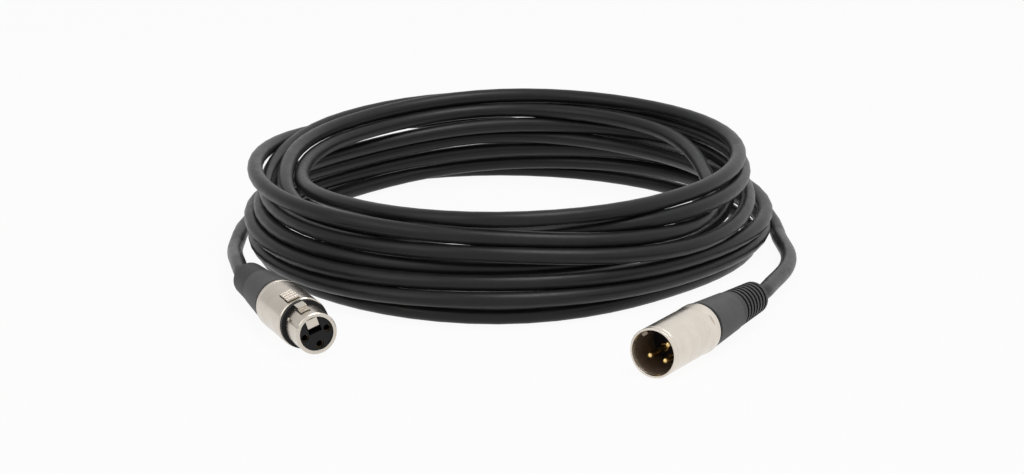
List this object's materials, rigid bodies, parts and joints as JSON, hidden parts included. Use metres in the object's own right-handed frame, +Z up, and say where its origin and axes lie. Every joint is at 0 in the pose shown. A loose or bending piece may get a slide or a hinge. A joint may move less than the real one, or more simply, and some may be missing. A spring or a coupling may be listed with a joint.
{
  "type": "xlr cable coil",
  "caption": "Coiled black microphone cable with a three-pole female connector with push latch on one end and a male connector on the other",
  "frame": {"origin": "centre of the footprint, on the surface that the coil and both connectors lie on", "axes": "+Z up; +Y from the connectors toward the back of the coil; +X toward the male connector's side"},
  "size_m": [0.2344, 0.3004, 0.0467],
  "materials": {
    "jacket": "matte PVC jacket",
    "satin_nickel": "satin nickel plate, slightly warm",
    "black_carrier": "moulded, satin",
    "gold": "gold plate",
    "spring_steel": "bare steel",
    "boot_plastic": "moulded, fine grain",
    "boot_rubber": "soft touch",
    "core_red": "extruded insulation",
    "core_white": "extruded insulation",
    "copper": "bare copper strands"
  },
  "bodies": {
    "cable": {"cable_coil": "jacket", "female_lead": "jacket", "male_lead": "jacket", "female_shell": "satin_nickel", "female_band": "black_carrier", "female_insert": "black_carrier", "female_contact_1": "gold", "female_contact_2": "gold", "female_contact_3": "gold", "female_latch_pin": "spring_steel", "female_chuck": "black_carrier", "female_jacket_end": "jacket", "female_core_hot": "core_red", "female_core_cold": "core_white", "female_drain": "copper", "male_shell": "satin_nickel", "male_insert": "black_carrier", "male_pin_1": "gold", "male_pin_2": "gold", "male_pin_3": "gold", "male_chuck": "black_carrier", "male_jacket_end": "jacket", "male_core_hot": "core_red", "male_core_cold": "core_white", "male_drain": "copper"},
    "female_latch": {"female_latch": "satin_nickel", "female_latch_spring": "spring_steel"},
    "female_sleeve": {"female_sleeve": "boot_rubber"},
    "female_bushing": {"female_bushing": "boot_plastic"},
    "male_sleeve": {"male_sleeve": "boot_rubber"},
    "male_bushing": {"male_bushing": "boot_plastic"}
  },
  "joints": [
    {"name": "latch_press", "type": "hinge", "parent": "cable", "child": "female_latch", "pos_m": [-0.0848, -0.09571, 0.01461], "axis": [0.8651, 0.3816, 0.3256], "range_deg": [0, 4.2], "stiffness_Nm_per_rad": 0.25, "springref_deg": -4.58},
    {"name": "female_boot_back", "type": "slide", "parent": "cable", "child": "female_sleeve", "axis": [-0.4035, 0.915, 0], "range_m": [0, 0.004]},
    {"name": "female_bushing_turn", "type": "hinge", "parent": "female_sleeve", "child": "female_bushing", "pos_m": [-0.09135, -0.07674, 0.0098], "axis": [-0.4035, 0.915, 0], "range_deg": [0, 1440]},
    {"name": "male_boot_back", "type": "slide", "parent": "cable", "child": "male_sleeve", "axis": [0.521, 0.8536, 0], "range_m": [0, 0.004]},
    {"name": "male_bushing_turn", "type": "hinge", "parent": "male_sleeve", "child": "male_bushing", "pos_m": [0.07528, -0.10699, 0.0097], "axis": [0.521, 0.8536, 0], "range_deg": [0, 1440]}
  ],
  "couplings": [
    {"joint": "female_boot_back", "follows": "female_bushing_turn", "m_per_rad": 0.000159},
    {"joint": "male_boot_back", "follows": "male_bushing_turn", "m_per_rad": 0.000159}
  ]
}
